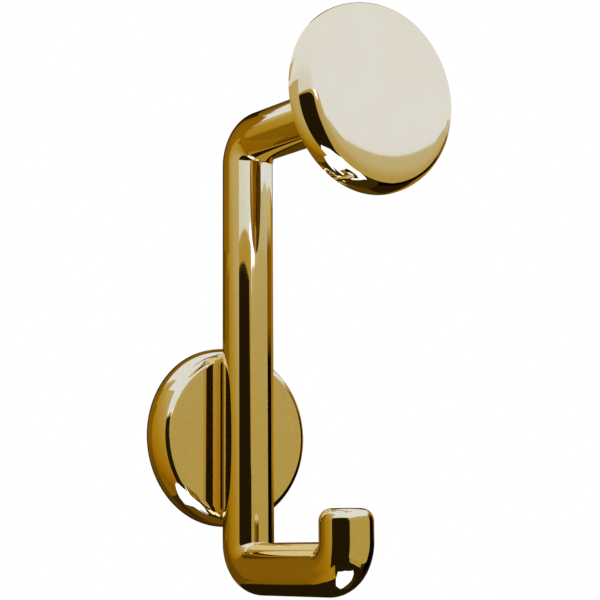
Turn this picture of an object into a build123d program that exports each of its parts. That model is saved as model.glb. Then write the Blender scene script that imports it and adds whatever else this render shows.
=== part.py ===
import math
import os

from build123d import *

# Hat and coat hook for a wall. A round rose hides a screwed-on wall plate, an upright round bar lies
# in a saddle cut across the rose, an arm carries a round hat knob above and a foot ends in a short
# coat prong below.
# Sizes are in millimetres. The wall is the plane y = 0, the hook reaches out towards -Y and +Z is up.
# The origin is the centre of the rose on the wall. "out" in a name is a distance from the wall.

# Round rod of the hook body
rod_diameter = 12.7
inside_corner = 0.15  # inside radius of the three bends, which all but close up
arm_rise = 74.8  # arm's axis above the rose's centre
arm_length = 48.8  # from the bar's axis to the back of the knob
foot_drop = 32.9  # foot's axis below the rose's centre
prong_reach = 39.4  # from the bar's axis to the prong's axis
prong_height = 13.9  # from the foot's axis to the prong's top
tip_round = 2.9  # rounding of the prong's top edge

# Rose and knob, turned discs with the same rounded edge
rose_diameter = 45.0
rose_thickness = 6.9
knob_diameter = 45.0
knob_thickness = 6.9
edge_land = 0.8  # straight part of the rim, next to the back
edge_inset = 3.5  # how far the rounded edge comes in from the rim to the flat face
edge_curve = 2.5  # radius of the edge where it leaves the flat face; a slacker arc carries on to the rim
back_edge_break = 0.25  # small chamfer round the knob's back edge

# Hollow behind the rose and the saddle across its face
rim_wall = 3.1
face_wall = 3.0
saddle_depth = 1.9
saddle_clearance = 0.05

# Wall plate inside the rose
plate_side_gap = 0.4
plate_front_gap = 0.7
wall_screw_margin = 6.5  # from the plate's edge to a screw hole's centre
wall_screw_hole = 4.5
countersink_diameter = 8.5
plate_bore_gap = 1.2  # round the body screw's head

# Body screw, from inside the rose into the back of the bar
body_screw_diameter = 5.0
body_screw_length = 8.4
screw_head_diameter = 8.5
screw_head_height = 2.0
screw_slot_width = 1.2
screw_slot_depth = 1.0
screw_hole_gap = 0.15

# Stud that joins the knob to the arm
stud_diameter = 6.0
stud_in_arm = 10.0
stud_in_knob = 4.5

# Grub screw through the underside of the rose's rim
grub_diameter = 3.0
grub_out = 2.0
grub_sunk = 0.35  # how far its outer end lies inside the rim
grub_tip_diameter = 0.8
grub_key = 1.5  # across the flats of its hexagon socket
grub_socket_depth = 1.3
groove_depth = 0.8  # of the right-angled V in the plate's edge that its point enters
grub_point_gap = 0.1

# Threads are left plain, with the screw a little smaller than its hole
thread_gap = 0.05
thread_end_gap = 0.5
thread_end_chamfer = 0.5

# Sizes that follow from the ones above
rod_radius = rod_diameter / 2
bend_radius = rod_radius + inside_corner
rose_radius = rose_diameter / 2
hollow_radius = rose_radius - rim_wall
hollow_out = rose_thickness - face_wall
bar_out = rose_thickness - saddle_depth + rod_radius
bar_back_out = bar_out - rod_radius
knob_back_out = bar_out + arm_length
prong_out = bar_out + prong_reach
tip_z = prong_height - foot_drop
plate_radius = hollow_radius - plate_side_gap
plate_thickness = hollow_out - plate_front_gap
plate_bore_radius = screw_head_diameter / 2 + plate_bore_gap
wall_screw_offset = plate_radius - wall_screw_margin
cut_margin = 1.0  # how far a cutting shape runs past the surface that it opens


def place(radius, out):
    """Point of a turned profile, at a radius from the hook's axis and a distance from the wall."""
    return (radius, -out)


def turned(*lines):
    """Solid of revolution about the axis that stands out from the wall through the origin."""
    profile = make_face([edge for line in lines for edge in line.edges()])
    return revolve(profile, axis=Axis.Y)


def rod_out(radius, start_out, end_out):
    """Plain round rod along the axis that stands out from the wall."""
    blank = Cylinder(radius, end_out - start_out, align=(Align.CENTER, Align.CENTER, Align.MIN))
    return Pos(0, -start_out, 0) * Rot(90, 0, 0) * blank


def rounded_edge(radius, base_out, thickness):
    """Front edge of a disc: a tight arc from its flat face, then a slacker one that ends along the rim."""
    height = thickness - edge_land
    slack_radius = (edge_inset ** 2 + height * (height - 2 * edge_curve)) / (2 * (edge_inset - edge_curve))
    slack_turn = math.degrees(math.atan2(height - edge_curve, slack_radius - edge_inset))
    tight_centre = place(radius - edge_inset, base_out + thickness - edge_curve)
    slack_centre = place(radius - slack_radius, base_out + edge_land)
    return Curve() + [
        CenterArc(tight_centre, edge_curve, -90, 90 - slack_turn),
        CenterArc(slack_centre, slack_radius, -slack_turn, slack_turn),
    ]


def make_rose():
    face_radius = rose_radius - edge_inset
    shell = turned(
        Polyline(place(rose_radius, edge_land), place(rose_radius, 0), place(hollow_radius, 0),
                 place(hollow_radius, hollow_out), place(0, hollow_out), place(0, rose_thickness),
                 place(face_radius, rose_thickness)),
        rounded_edge(rose_radius, 0, rose_thickness),
    )
    saddle = Pos(0, -bar_out, 0) * Cylinder(rod_radius + saddle_clearance, rose_diameter + 2 * cut_margin)
    screw_hole = rod_out(body_screw_diameter / 2 + screw_hole_gap, hollow_out - cut_margin, rose_thickness)
    grub_hole = Pos(0, -grub_out, -rose_radius - cut_margin) * Cylinder(
        grub_diameter / 2 + thread_gap, rim_wall + 2 * cut_margin,
        align=(Align.CENTER, Align.CENTER, Align.MIN))
    return shell - saddle - screw_hole - grub_hole


def make_wall_plate():
    blank = turned(
        Polyline(place(plate_bore_radius, 0), place(plate_radius, 0),
                 place(plate_radius, grub_out - groove_depth), place(plate_radius - groove_depth, grub_out),
                 place(plate_radius, grub_out + groove_depth), place(plate_radius, plate_thickness),
                 place(plate_bore_radius, plate_thickness), place(plate_bore_radius, 0)),
    )
    hole_radius = wall_screw_hole / 2
    sink_radius = countersink_diameter / 2
    sink_depth = sink_radius - hole_radius
    hole = rod_out(hole_radius, -cut_margin, plate_thickness + cut_margin)
    sink = Pos(0, -plate_thickness, 0) * Rot(-90, 0, 0) * Cone(
        sink_radius, hole_radius, sink_depth, align=(Align.CENTER, Align.CENTER, Align.MIN))
    for side in (1, -1):
        blank -= Pos(0, 0, side * wall_screw_offset) * (hole + sink)
    return blank


def make_hook_body():
    path = FilletPolyline(
        (0, -knob_back_out, arm_rise), (0, -bar_out, arm_rise), (0, -bar_out, -foot_drop),
        (0, -prong_out, -foot_drop), (0, -prong_out, tip_z),
        radius=bend_radius,
    )
    section = Plane(origin=path @ 0, z_dir=path % 0) * Circle(rod_radius)
    rod = sweep(section, path=path)
    tip_edge = [
        edge for edge in rod.edges().filter_by(GeomType.CIRCLE)
        if abs(edge.arc_center.Y + prong_out) < 0.01 and abs(edge.arc_center.Z - tip_z) < 0.01
    ]
    rod = fillet(tip_edge, tip_round)
    screw_end_out = hollow_out + body_screw_length + thread_end_gap
    screw_hole = rod_out(body_screw_diameter / 2 + thread_gap, bar_back_out - cut_margin, screw_end_out)
    stud_start_out = knob_back_out - stud_in_arm - thread_end_gap
    stud_hole = rod_out(stud_diameter / 2 + thread_gap, stud_start_out, knob_back_out + cut_margin)
    return rod - screw_hole - Pos(0, 0, arm_rise) * stud_hole


def make_hat_knob():
    radius = knob_diameter / 2
    front_out = knob_back_out + knob_thickness
    disc = turned(
        Polyline(place(radius, knob_back_out + edge_land), place(radius, knob_back_out + back_edge_break),
                 place(radius - back_edge_break, knob_back_out), place(0, knob_back_out),
                 place(0, front_out), place(radius - edge_inset, front_out)),
        rounded_edge(radius, knob_back_out, knob_thickness),
    )
    stud_hole = rod_out(stud_diameter / 2 + thread_gap, knob_back_out - cut_margin,
                        knob_back_out + stud_in_knob + thread_end_gap)
    return Pos(0, 0, arm_rise) * (disc - stud_hole)


def make_body_screw():
    head = rod_out(screw_head_diameter / 2, hollow_out - screw_head_height, hollow_out)
    shank = rod_out(body_screw_diameter / 2, hollow_out, hollow_out + body_screw_length)
    shank = chamfer(shank.edges().sort_by(Axis.Y)[0], thread_end_chamfer)
    slot_out = hollow_out - screw_head_height
    slot = Box(screw_head_diameter + cut_margin, 2 * screw_slot_depth, screw_slot_width)
    return head + shank - Pos(0, -slot_out, 0) * slot


def make_knob_stud():
    stud = rod_out(stud_diameter / 2, knob_back_out - stud_in_arm, knob_back_out + stud_in_knob)
    ends = stud.edges().sort_by(Axis.Y)
    stud = chamfer([ends[0], ends[-1]], thread_end_chamfer)
    return Pos(0, 0, arm_rise) * stud


def make_grub_screw():
    """Turned about its own length, with its point up, then set under the rose."""
    groove_bottom = plate_radius - groove_depth
    point_radius = grub_tip_diameter / 2
    point_start = groove_bottom + point_radius + grub_point_gap
    cone_height = grub_diameter / 2 - point_radius
    length = rose_radius - grub_sunk - point_start
    body = Cylinder(grub_diameter / 2, length - cone_height, align=(Align.CENTER, Align.CENTER, Align.MIN))
    point = Pos(0, 0, length - cone_height) * Cone(
        grub_diameter / 2, point_radius, cone_height, align=(Align.CENTER, Align.CENTER, Align.MIN))
    socket = extrude(RegularPolygon(grub_key / 2, 6, major_radius=False), grub_socket_depth)
    return Pos(0, -grub_out, -(rose_radius - grub_sunk)) * (body + point - socket)


pieces = {
    "rose": make_rose,
    "hook_body": make_hook_body,
    "hat_knob": make_hat_knob,
    "wall_plate": make_wall_plate,
    "body_screw": make_body_screw,
    "knob_stud": make_knob_stud,
    "grub_screw": make_grub_screw,
}

os.makedirs("parts", exist_ok=True)
for name, make in pieces.items():
    export_step(make(), f"parts/{name}.step")
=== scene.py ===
import bmesh
import bpy
import math
from mathutils import Matrix, Vector


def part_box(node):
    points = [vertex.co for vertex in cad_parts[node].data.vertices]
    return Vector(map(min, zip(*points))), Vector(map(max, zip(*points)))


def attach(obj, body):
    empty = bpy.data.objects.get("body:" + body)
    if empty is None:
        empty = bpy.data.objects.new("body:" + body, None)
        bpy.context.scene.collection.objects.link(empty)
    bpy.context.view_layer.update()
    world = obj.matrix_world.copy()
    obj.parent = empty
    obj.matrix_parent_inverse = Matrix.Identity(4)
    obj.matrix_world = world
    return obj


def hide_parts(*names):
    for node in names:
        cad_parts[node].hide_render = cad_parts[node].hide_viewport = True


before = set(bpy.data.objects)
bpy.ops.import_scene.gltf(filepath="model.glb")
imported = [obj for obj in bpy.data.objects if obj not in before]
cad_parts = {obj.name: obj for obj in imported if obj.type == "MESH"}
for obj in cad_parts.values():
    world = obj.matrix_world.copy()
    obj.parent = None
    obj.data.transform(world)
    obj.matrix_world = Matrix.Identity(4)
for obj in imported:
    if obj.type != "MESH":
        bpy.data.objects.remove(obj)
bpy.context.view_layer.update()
mm = 0.001
print("frame loaded, nodes:", ", ".join(sorted(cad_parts)))


# camera, as the photograph was taken: close by, from the left and a little below
cameraLook = {
    "azimuth": -36.26,
    "elevation": -8.55,
    "roll": -0.39,
    "distance": 410 * mm,
    "target": (6.25 * mm, -25 * mm, 32.75 * mm),
    "lens": 99.5,
    "sensor": 36,
    "nearest": 10 * mm,
}


def makeCamera(look):
    azimuth, elevation = math.radians(look["azimuth"]), math.radians(look["elevation"])
    back = Vector((math.sin(azimuth) * math.cos(elevation), -math.cos(azimuth) * math.cos(elevation),
                   math.sin(elevation)))
    right = Vector((0, 0, 1)).cross(back).normalized()
    up = back.cross(right)
    turn = Matrix.Rotation(math.radians(look["roll"]), 3, back)
    axes = Matrix((turn @ right, turn @ up, back)).transposed()
    data = bpy.data.cameras.new("hookCamera")
    data.lens = look["lens"]
    data.sensor_width = look["sensor"]
    data.clip_start = look["nearest"]
    camera = bpy.data.objects.new("hookCamera", data)
    camera.matrix_world = Matrix.Translation(Vector(look["target"]) + back * look["distance"]) @ axes.to_4x4()
    bpy.context.scene.collection.objects.link(camera)
    bpy.context.scene.camera = camera


makeCamera(cameraLook)
bpy.context.scene.view_settings.view_transform = "Standard"
print("camera set")


def makeObject(name, mesh):
    piece = bpy.data.objects.new(name, mesh)
    bpy.context.scene.collection.objects.link(piece)
    return piece


# hat knob, turned finer than in the frame: polishing lets its flat face fall away a little near the edge
knobLook = {
    "flatRadius": 14.5 * mm,  # inside it the face is flat
    "faceArcs": [(17.4 * mm, 190 * mm), (18.95 * mm, 35 * mm)],  # (out to, arc radius)
    "edgeArc": 2.8 * mm,
    "straightRim": 0.8 * mm,
    "backEdge": 0.25 * mm,
    "studHole": (3.05 * mm, 5.0 * mm),  # radius and depth
    "around": 288,
    "steps": 28,
    "sharpAngle": 25,
}


# points (radius, height over the back) from the bottom of the stud hole, round the rim, to the flat face
def knobProfile(look, radius, thickness):
    arcs = []
    x, z, turn = look["flatRadius"], thickness, 0
    for reach, curve in look["faceArcs"]:
        centreX, centreZ = x - curve * math.sin(turn), z - curve * math.cos(turn)
        end = math.asin((reach - centreX) / curve)
        arcs.append((centreX, centreZ, curve, turn, end))
        x, z, turn = reach, centreZ + curve * math.cos(end), end
    tight, rim, back = look["edgeArc"], look["straightRim"], look["backEdge"]
    tightX, tightZ = x - tight * math.sin(turn), z - tight * math.cos(turn)
    slackTurn = 2 * math.atan((radius - tightX - tight) / (tightZ - rim))
    slack = tight + (tightZ - rim) / math.sin(slackTurn)  # its arc ends upright, on the rim
    arcs.append((tightX, tightZ, tight, turn, math.pi / 2 - slackTurn))
    arcs.append((radius - slack, rim, slack, math.pi / 2 - slackTurn, math.pi / 2))
    holeRadius, holeDepth = look["studHole"]
    points = [(holeRadius, holeDepth), (holeRadius, 0), (radius - back, 0), (radius, back), (radius, rim)]
    for centreX, centreZ, curve, start, end in reversed(arcs):
        for k in range(1, look["steps"] + 1):  # an arc's first point is there already
            turn = end + (start - end) * k / look["steps"]
            points.append((centreX + curve * math.sin(turn), centreZ + curve * math.cos(turn)))
    return points


def makeKnob(look):
    low, high = (Vector(corner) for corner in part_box("hat_knob"))
    radius, thickness = (high.x - low.x) / 2, high.y - low.y
    centreX, centreZ = (low.x + high.x) / 2, (low.z + high.z) / 2
    around = look["around"]
    turns = [2 * math.pi * k / around for k in range(around)]
    bm = bmesh.new()
    rings = [[bm.verts.new((centreX + r * math.cos(t), high.y - h, centreZ + r * math.sin(t))) for t in turns]
             for r, h in knobProfile(look, radius, thickness)]
    for inner, outer in zip(rings, rings[1:]):
        for k in range(around):
            n = (k + 1) % around
            bm.faces.new((inner[k], inner[n], outer[n], outer[k]))
    bm.faces.new(rings[0])
    bm.faces.new(rings[-1])
    bmesh.ops.recalc_face_normals(bm, faces=bm.faces)
    for face in bm.faces:
        face.smooth = True
    mesh = bpy.data.meshes.new("turnedKnob")
    bm.to_mesh(mesh)
    bm.free()
    mesh.set_sharp_from_angle(angle=math.radians(look["sharpAngle"]))
    knob = makeObject("turnedKnob", mesh)
    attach(knob, "root")
    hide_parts("hat_knob")
    return knob


knob = makeKnob(knobLook)
print("knob turned,", len(knob.data.polygons), "faces")


def linear(value):
    return value / 12.92 if value <= 0.04045 else ((value + 0.055) / 1.055) ** 2.4


def toLinear(colour):
    return tuple(linear(c) for c in colour) + (1.0,)


def addNode(tree, kind, **settings):
    node = tree.nodes.new("ShaderNode" + kind)
    for name, value in settings.items():
        setattr(node, name, value)
    return node


def addNoise(tree, place, scale, detail):
    noise = addNode(tree, "TexNoise")
    noise.inputs["Scale"].default_value = scale
    noise.inputs["Detail"].default_value = detail
    tree.links.new(place, noise.inputs["Vector"])
    return noise


def addRamp(tree, value, stops):
    ramp = addNode(tree, "ValToRGB")
    while len(ramp.color_ramp.elements) < len(stops):
        ramp.color_ramp.elements.new(0.5)
    for element, (at, colour) in zip(ramp.color_ramp.elements, stops):
        element.position = at
        element.color = colour
    tree.links.new(value, ramp.inputs[0])
    return ramp


def newMaterial(name):
    material = bpy.data.materials.new(name)
    material.use_nodes = True
    return material, material.node_tree


# studio: polished brass shows little but what stands round it, so the hook stands in a tent of glowing cards,
# named for boards, paper and cloth, that only reflections see. They are painted reflections: their colours
# carry part of the brass's gold, and some paint its shade and highlights. Measures are in mm and glows in
# linear light.
# a glow above white and bluer than it: painted white highlights in the brass
highlightGlow = (1.32, 1.47, 2.6)
strawBoard = (0.477, 0.326, 0.075)
amberBoard = (0.41, 0.2, 0.001)
brownBoard = (0.09, 0.05, 0.002)
# near black: for the black flags and cloths, and for painted shade
blackClothAndShade = (0.0148, 0.0093, 0.0008)
darkTable = (0.04, 0.025, 0.001)

closeBehind = 0.6  # y of the cards right behind the hook
closeUnder = -42  # z of the cards right under its foot
tentFoot = -298  # z where the tall boards end, just over the floor
roseLow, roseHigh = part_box("rose")
roseRim = (roseHigh[0] - roseLow[0]) / 2 / mm
# the inner ring is painted contact shadow where the rose meets the wall, the outer one painted shade round it
contactShadeStart, contactShadeEnd, shadeEnd = roseRim + 0.1, roseRim + 0.65, roseRim + 2.8  # two rings behind the rose
ringStep = 6  # degrees between a ring's corners


# round the outer edge and back along the inner one, which leaves a narrow slit
def ringCorners(outer, inner):
    there = [(outer, angle) for angle in range(0, 360, ringStep)]
    back = [(inner, angle) for angle in range(360 - ringStep, -1, -ringStep)]
    return [(radius * math.cos(math.radians(angle)), radius * math.sin(math.radians(angle)))
            for radius, angle in there + back]


leftTop = [(62, 112), (84, 115), (97, 121), (107, 127)]  # where the gold left board meets the pale one

# a card lies in a plane x, y or z and gives its corners' two other measures, or else it stands along a line
# over the floor and gives its corners' x and z. A ramp gives (measure along its direction, glow).
studioCards = {
    # left of the hook
    "leftBoard": {
        "plane": ("x", -94),
        "corners": [(-38, -100), (-38, 100), (38, 105), *leftTop, (107, 62), (62, 62), (62, -166), (0, -103)],
        "along": (0, 1, -0.9),
        "ramp": [(-90, (0.543, 0.45, 0.275)), (-60, (0.526, 0.427, 0.237)), (-30, (0.485, 0.341, 0.1)),
                 (0, (0.452, 0.287, 0.037)), (20, (0.419, 0.256, 0.016)), (75, (0.366, 0.171, 0.002)),
                 (120, (0.23, 0.116, 0.0025)), (290, (0.193, 0.097, 0.002))],
    },
    "leftRearBoard": {
        "plane": ("x", -94),
        "corners": [(62, -166), (62, 62), (107, 62), (107, 127), (330, 127), (330, -260)],
        "along": (0, 1, 0),
        "ramp": [(62, (0.25, 0.13, 0.004)), (330, (0.19, 0.095, 0.002))],
    },
    "paleBoard": {
        "plane": ("x", -94),
        "corners": [(40, 105), *leftTop, (330, 127), (330, 170), (40, 170)],
        "along": (0, 0, 1),
        "ramp": [(118, (0.48, 0.34, 0.09)), (148, (0.53, 0.46, 0.25)), (170, (0.592, 0.572, 0.50))],
    },
    # close behind the hook, for the dark amber and the dark outlines of its edges: the wall as glowing cards,
    # with the hook's shade on it painted in
    "backPanel": {
        "plane": ("y", closeBehind),
        "corners": [(-21, 48), (-21, 90), (-17, 97), (12, 97), (12, 48)],
        "along": (1, 0, 0),
        # the ramp's dark end, from x -5.2 on, is the bar's contact shadow painted on the wall
        "ramp": [(-21, (0.30, 0.155, 0.003)), (-10, (0.26, 0.13, 0.003)), (-6.5, (0.2, 0.1, 0.002)),
                 (-5.2, (0.03, 0.015, 0.0005)), (12, (0.02, 0.01, 0.0005))],
    },
    "roseShade": {
        "plane": ("y", closeBehind),
        "corners": ringCorners(shadeEnd, contactShadeEnd),
        "along": (0, 0, 1),
        "ramp": [(-25, (0.05, 0.025, 0.001)), (-12, (0.13, 0.065, 0.002)), (2, (0.24, 0.12, 0.003)),
                 (25, (0.25, 0.125, 0.003))],
    },
    # a thin near-black ring where the rose meets the wall: painted contact shadow
    "wallContactShade": {
        "plane": ("y", closeBehind),
        "corners": ringCorners(contactShadeEnd, contactShadeStart),
        "glow": blackClothAndShade,
    },
    "footShade": {
        "plane": ("y", closeBehind),
        "corners": [(-16, -48), (-16, -26), (12, -26), (12, -38), (-4, -43)],
        "glow": (0.14, 0.07, 0.002),
    },
    # the hook's shadow on the wall below the rose, painted as a black card
    "lowerWallShadow": {
        "plane": ("y", closeBehind),
        "corners": [(12, -38), (-4, -43), (-11, -49), (-15, -61), (-20, -66), (-50, -106), (12, -106)],
        "glow": blackClothAndShade,
    },
    # in front: before the camera, and on to the right
    "frontBoard": {
        "line": ((-420, 135), (-108, -309)),
        "corners": [(-420, tentFoot), (-420, 98), (-259, 98), (-125, 103), (-108, 103), (-108, tentFoot)],
        "glow": strawBoard,
    },
    "frontFlag": {
        "line": ((-418, 136), (-84, -341)),
        "corners": [(-418, tentFoot), (-418, 88), (-188, 86), (-136, 84), (-118, 8), (-84, -14),
                    (-84, tentFoot)],
        "glow": blackClothAndShade,
    },
    "rightBoard": {
        "line": ((-108, -300), (205, -110)),
        "corners": [(-108, -190), (-108, 80), (205, 80), (205, -130)],
        "along": (0, 0, 1),
        "ramp": [(-25, (0.477, 0.375, 0.132)), (20, (0.49, 0.388, 0.165)), (60, (0.505, 0.41, 0.21)),
                 (80, (0.53, 0.45, 0.26))],
    },
    "farBoard": {
        "line": ((-200, -640), (610, -286)),
        "corners": [(-200, -100), (-200, 171), (220, 169), (280, 169.5), (310, 171), (330, 174), (350, 178),
                    (449, 188), (610, 206), (610, -100)],
        "along": (0, 0, 1),
        "ramp": [(98, (0.505, 0.41, 0.21)), (127, (0.535, 0.46, 0.29)), (150, (0.56, 0.50, 0.38)),
                 (171, (0.575, 0.525, 0.43))],
    },
    # a small glow above white that paints the glint between the bar's cap and its dark streak: painted glint
    "gapGlint": {
        "line": ((-200, -400), (-20, -440)),
        "corners": [(-200, 110), (-200, 136), (-20, 140), (-20, 114)],
        "glow": highlightGlow,
    },
    # right of the hook and behind it
    "rightFlag": {
        "line": ((215, -120), (233, 10)),
        "corners": [(215, tentFoot), (215, 112), (233, 112), (233, tentFoot)],
        "along": (0, 0, 1),
        "ramp": [(45, (0.002, 0.001, 0.0005)), (57, (0.2, 0.09, 0.0015)), (88, (0.22, 0.105, 0.004)),
                 (97, (0.566, 0.483, 0.30)), (112, (0.60, 0.56, 0.45))],
    },
    "rightRearBoard": {
        "line": ((233, 10), (245, 190)),
        "corners": [(233, tentFoot), (233, 112), (245, 112), (245, tentFoot)],
        "along": (0, 0, 1),
        "ramp": [(-30, (0.02, 0.01, 0.0005)), (5, amberBoard)],
    },
    "rearFlag": {
        "line": ((-94, 330), (320, 150)),
        "corners": [(-94, tentFoot), (-94, 345), (320, 320), (320, tentFoot)],
        "along": (0, 0, 1),
        "ramp": [(200, brownBoard), (280, (0.12, 0.07, 0.004)), (340, (0.26, 0.16, 0.02))],
    },
    # on the table
    "tableCloth": {
        "plane": ("z", -297),
        "corners": [(-700, -700), (700, -700), (700, 700), (-700, 700)],
        "glow": darkTable,
    },
    "amberSheet": {
        "plane": ("z", -296),
        "corners": [(-320, 400), (-60, 400), (-60, 640), (-320, 640)],
        "along": (1, 0, 0),
        "ramp": [(-310, (0.2, 0.1, 0.002)), (-190, (0.44, 0.26, 0.015)), (-130, (0.44, 0.26, 0.015)),
                 (-70, (0.15, 0.08, 0.002))],
    },
    # a white sheet on the table that glows above white: painted highlights on the lower rims and the foot's
    # underside
    "tableSheet": {
        "plane": ("z", -294),
        "corners": [(-330, -60), (-110, -460), (60, -470), (125, -90), (60, 60), (-60, 130), (-150, 105),
                    (-265, 20)],
        "glow": highlightGlow,
    },
    # close under the foot: dark cards that paint its underside's reflections, with a window through to the
    # white sheet, and two flaps beside it
    "amberFlap": {
        "plane": ("z", closeUnder),
        "corners": [(-20, -55), (-16.5, -54.5), (-12.5, -53.5), (-7.5, -52.5), (-8.5, -49), (-9.5, -44),
                    (-8.5, -35), (-20, -33)],
        "along": (0, 1, 0),
        "ramp": [(-50, (0.43, 0.24, 0.009)), (-34, (0.25, 0.13, 0.003))],
    },
    "goldFlap": {
        "plane": ("z", closeUnder),
        "corners": [(-6.5, -68), (1.5, -66), (9, -62), (13, -63), (4, -71), (-7, -74), (-9, -73)],
        "glow": (0.46, 0.33, 0.075),
    },
    "windowFront": {
        "plane": ("z", closeUnder),
        "corners": [(-18, -54.5), (-16.5, -54.5), (-12.5, -53.5), (-7.5, -52.5), (-10.5, -55.5), (-6, -59),
                    (1, -61), (5.5, -53.5), (14, -51.5), (17, -54.5), (9, -62), (1.5, -66), (-6.5, -68),
                    (-9, -73), (-18, -68)],
        "glow": blackClothAndShade,
    },
    "windowBack": {
        "plane": ("z", closeUnder),
        "corners": [(-7.5, -52.5), (-3.5, -50), (0.5, -49.5), (3.5, -49.5), (5.5, -53.5), (14, -51.5),
                    (8, -40), (8, -2), (-4.5, -2), (-7.5, -11), (-7.5, -27.5), (-8.5, -35), (-9.5, -44),
                    (-8.5, -49)],
        "glow": blackClothAndShade,
    },
}

# a dome over and round it all, glowing a little bluer than white so that the brass shows it as pale cream:
# painted highlight
domeLook = {
    "radius": 1500 * mm,
    "floorLevel": -300 * mm,
    "along": (1, 0, 1.2),
    "ramp": [(-1000, (0.71, 0.785, 1.05)), (-500, (0.74, 0.82, 1.16)), (-100, (0.80, 0.89, 1.40)),
             (1300, (0.806, 0.90, 1.45))],
}


def glowMaterial(name, look):
    material, tree = newMaterial(name)
    tree.nodes.clear()
    output = addNode(tree, "OutputMaterial")
    emission = addNode(tree, "Emission")
    tree.links.new(emission.outputs[0], output.inputs[0])
    if "ramp" not in look:
        emission.inputs[0].default_value = look["glow"] + (1,)
        return material
    start, end = look["ramp"][0][0], look["ramp"][-1][0]
    place = addNode(tree, "TexCoord")
    along = addNode(tree, "VectorMath", operation="DOT_PRODUCT")
    along.inputs[1].default_value = look["along"]
    span = addNode(tree, "MapRange")
    span.inputs["From Min"].default_value = start * mm
    span.inputs["From Max"].default_value = end * mm
    tree.links.new(place.outputs["Object"], along.inputs[0])
    tree.links.new(along.outputs["Value"], span.inputs["Value"])
    stops = [((at - start) / (end - start), glow + (1,)) for at, glow in look["ramp"]]
    shade = addRamp(tree, span.outputs[0], stops)
    tree.links.new(shade.outputs[0], emission.inputs[0])
    return material


def onlyInReflections(card):
    card.visible_camera = False
    card.visible_diffuse = False
    card.visible_shadow = False
    card.visible_volume_scatter = False


def cardCorners(look):
    if "line" in look:
        (startX, startY), (endX, endY) = look["line"]
        slope = (endY - startY) / (endX - startX)
        return [Vector((x, startY + (x - startX) * slope, z)) * mm for x, z in look["corners"]]
    letter, level = look["plane"]
    axis = "xyz".index(letter)
    return [Vector(corner[:axis] + (level,) + corner[axis:]) * mm for corner in look["corners"]]


def makeCard(name, look):
    corners = cardCorners(look)
    mesh = bpy.data.meshes.new(name)
    mesh.from_pydata(corners, [], [range(len(corners))])
    mesh.materials.append(glowMaterial(name, look))
    onlyInReflections(makeObject(name, mesh))


def makeDome(look):
    bm = bmesh.new()
    bmesh.ops.create_icosphere(bm, subdivisions=4, radius=look["radius"])
    bmesh.ops.bisect_plane(bm, geom=bm.verts[:] + bm.edges[:] + bm.faces[:],
                           plane_co=(0, 0, look["floorLevel"]), plane_no=(0, 0, -1), clear_outer=True)
    mesh = bpy.data.meshes.new("highlightDome")
    bm.to_mesh(mesh)
    bm.free()
    mesh.materials.append(glowMaterial("highlightDome", look))
    onlyInReflections(makeObject("highlightDome", mesh))


for name, look in studioCards.items():
    makeCard(name, look)
makeDome(domeLook)
print("studio set,", len(studioCards), "cards and a dome")

# floor, lamp and white surround
floorLook = {"level": -300 * mm, "size": 6.0, "colour": (0.93, 0.93, 0.92), "speck": 0.01, "grain": 60}
lampLook = {"place": (-0.35, -0.5, 0.9), "size": 0.6, "power": 4.0}
surroundLook = {"seen": 1.0, "soft": 0.8}


def makeFloor(look):
    half, level = look["size"] / 2, look["level"]
    mesh = bpy.data.meshes.new("paleFloor")
    corners = [(-half, -half, level), (half, -half, level), (half, half, level), (-half, half, level)]
    mesh.from_pydata(corners, [], [range(len(corners))])
    material, tree = newMaterial("palePaper")
    shader = tree.nodes["Principled BSDF"]
    shader.inputs["Roughness"].default_value = 0.9
    shader.inputs["Specular IOR Level"].default_value = 0.0
    grain = addNode(tree, "TexNoise")
    grain.inputs["Scale"].default_value = look["grain"]
    darker = [c - look["speck"] for c in look["colour"]]
    tone = addRamp(tree, grain.outputs[0], [(0, toLinear(darker)), (1, toLinear(look["colour"]))])
    tree.links.new(tone.outputs[0], shader.inputs["Base Color"])
    mesh.materials.append(material)
    floor = makeObject("paleFloor", mesh)
    floor.visible_glossy = False


def makeLamp(look):
    data = bpy.data.lights.new("softLamp", "AREA")
    data.size = look["size"]
    data.energy = look["power"]
    lamp = bpy.data.objects.new("softLamp", data)
    place = Vector(look["place"])
    lamp.matrix_world = Matrix.Translation(place) @ place.to_track_quat("Z", "Y").to_matrix().to_4x4()
    lamp.visible_glossy = False
    bpy.context.scene.collection.objects.link(lamp)


# the world is white to the camera and in reflections, and a little softer as light
def makeSurround(look):
    world = bpy.data.worlds.new("whiteSurround")
    world.use_nodes = True
    bpy.context.scene.world = world
    tree = world.node_tree
    background = tree.nodes["Background"]
    background.inputs["Color"].default_value = (1, 1, 1, 1)
    ray = addNode(tree, "LightPath")
    seen = addNode(tree, "Math", operation="ADD")
    through = addNode(tree, "Math", operation="ADD", use_clamp=True)
    strength = addNode(tree, "MapRange")
    strength.inputs["To Min"].default_value = look["soft"]
    strength.inputs["To Max"].default_value = look["seen"]
    tree.links.new(ray.outputs["Is Camera Ray"], seen.inputs[0])
    tree.links.new(ray.outputs["Is Glossy Ray"], seen.inputs[1])
    tree.links.new(seen.outputs[0], through.inputs[0])
    tree.links.new(ray.outputs["Is Transmission Ray"], through.inputs[1])
    tree.links.new(through.outputs[0], strength.inputs["Value"])
    tree.links.new(strength.outputs[0], background.inputs["Strength"])


makeFloor(floorLook)
makeLamp(lampLook)
makeSurround(surroundLook)
print("floor, lamp and surround set")

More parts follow.
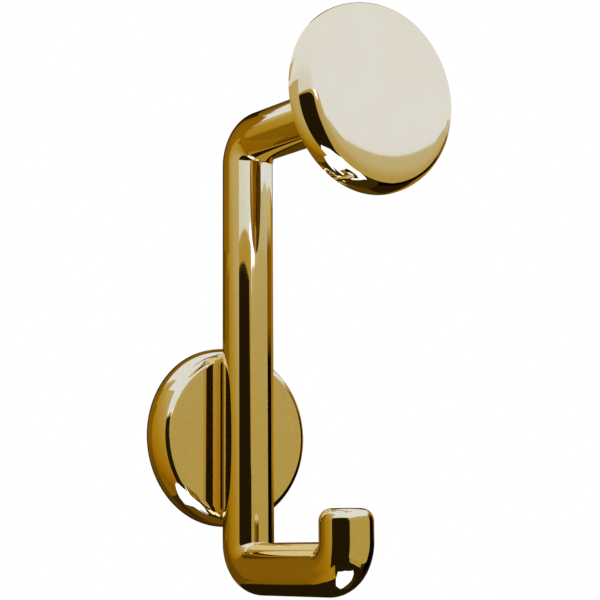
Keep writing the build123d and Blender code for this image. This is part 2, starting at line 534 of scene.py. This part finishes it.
# polished brass, with the faint unevenness that buffing leaves
brassLook = {
    "colour": (0.958, 0.895, 0.684),
    "warmColour": (0.950, 0.885, 0.668),
    "edgeTint": (1.0, 0.93, 0.72),
    "cloudScale": 90,
    "grainScale": 3400,
    "grain": (0.06, 0.07, 0.18),  # how far the grain's specks stray from the colour, as a share of it
    "spread": (0.3, 0.7),  # the noise values between which tone, specks and haze change
    "roughness": (0.03, 0.05),
    "hazeScale": 900,
    "waveScale": 260,
    "waveHeight": 0.0012 * mm,
    "scratchScale": (300, 300, 4200),
    "scratchHeight": 0.00012 * mm,
}

# the knob's broad face was buffed longest
knobBrassLook = {"grain": (0.015, 0.015, 0.02)}


def makeBrass(name, look):
    material, tree = newMaterial(name)
    shader = tree.nodes["Principled BSDF"]
    shader.inputs["Metallic"].default_value = 1.0
    shader.inputs["Specular Tint"].default_value = look["edgeTint"] + (1,)
    low, high = look["spread"]
    place = addNode(tree, "TexCoord").outputs["Object"]
    # colour: slow clouds of tone under fine specks
    clouds = addNoise(tree, place, look["cloudScale"], detail=3)
    tones = [(low, toLinear(look["warmColour"])), (high, toLinear(look["colour"]))]
    tone = addRamp(tree, clouds.outputs[0], tones)
    grain = addNoise(tree, place, look["grainScale"], detail=1)
    darkSpeck = [1 - share for share in look["grain"]] + [1]
    paleSpeck = [1 + share for share in look["grain"]] + [1]
    specks = addRamp(tree, grain.outputs[0], [(low, darkSpeck), (high, paleSpeck)])
    speckled = addNode(tree, "VectorMath", operation="MULTIPLY")
    tree.links.new(tone.outputs[0], speckled.inputs[0])
    tree.links.new(specks.outputs[0], speckled.inputs[1])
    tree.links.new(speckled.outputs[0], shader.inputs["Base Color"])
    # polish: a haze that comes and goes
    haze = addNoise(tree, place, look["hazeScale"], detail=2)
    rough = addNode(tree, "MapRange")
    rough.inputs["From Min"].default_value, rough.inputs["From Max"].default_value = low, high
    rough.inputs["To Min"].default_value, rough.inputs["To Max"].default_value = look["roughness"]
    tree.links.new(haze.outputs[0], rough.inputs["Value"])
    tree.links.new(rough.outputs[0], shader.inputs["Roughness"])
    # relief: broad waves and hairline scratches
    wave = addNoise(tree, place, look["waveScale"], detail=1)
    waveBump = addNode(tree, "Bump")
    waveBump.inputs["Distance"].default_value = look["waveHeight"]
    lines = addNode(tree, "Mapping")
    lines.inputs["Scale"].default_value = look["scratchScale"]
    tree.links.new(place, lines.inputs["Vector"])
    scratch = addNoise(tree, lines.outputs[0], 1, detail=2)
    scratchBump = addNode(tree, "Bump")
    scratchBump.inputs["Distance"].default_value = look["scratchHeight"]
    tree.links.new(wave.outputs[0], waveBump.inputs["Height"])
    tree.links.new(scratch.outputs[0], scratchBump.inputs["Height"])
    tree.links.new(waveBump.outputs[0], scratchBump.inputs["Normal"])
    tree.links.new(scratchBump.outputs[0], shader.inputs["Normal"])
    return material


# dull zinc plate on the steel behind the rose
steelLook = {
    "colour": (0.80, 0.80, 0.79),
    "blueColour": (0.74, 0.77, 0.80),
    "strawColour": (0.82, 0.79, 0.70),
    "filmScale": 120,
    "metallic": 0.45,  # dull zinc scatters much of the light
    "roughness": (0.22, 0.38),
    "grainScale": 2600,
    "grainHeight": 0.004 * mm,
}


def makeSteel(look):
    material, tree = newMaterial("platedSteel")
    shader = tree.nodes["Principled BSDF"]
    shader.inputs["Metallic"].default_value = look["metallic"]
    place = addNode(tree, "TexCoord").outputs["Object"]
    film = addNoise(tree, place, look["filmScale"], detail=4)
    stops = [(0.3, "blueColour"), (0.5, "colour"), (0.7, "strawColour")]
    tone = addRamp(tree, film.outputs[0], [(at, toLinear(look[colour])) for at, colour in stops])
    grain = addNoise(tree, place, look["grainScale"], detail=3)
    rough = addNode(tree, "MapRange")
    rough.inputs["To Min"].default_value, rough.inputs["To Max"].default_value = look["roughness"]
    bump = addNode(tree, "Bump")
    bump.inputs["Distance"].default_value = look["grainHeight"]
    tree.links.new(tone.outputs[0], shader.inputs["Base Color"])
    tree.links.new(grain.outputs[0], rough.inputs["Value"])
    tree.links.new(rough.outputs[0], shader.inputs["Roughness"])
    tree.links.new(grain.outputs[0], bump.inputs["Height"])
    tree.links.new(bump.outputs[0], shader.inputs["Normal"])
    return material


def giveMaterial(piece, material):
    if not piece.material_slots:
        piece.data.materials.append(material)
    for slot in piece.material_slots:
        slot.material = material


brass = makeBrass("polishedBrass", brassLook)
knobBrass = makeBrass("finePolishedBrass", {**brassLook, **knobBrassLook})
steel = makeSteel(steelLook)
for name in ("rose", "hook_body"):
    giveMaterial(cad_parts[name], brass)
for name in ("wall_plate", "body_screw", "knob_stud", "grub_screw"):
    giveMaterial(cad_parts[name], steel)
giveMaterial(knob, knobBrass)
print("materials set")
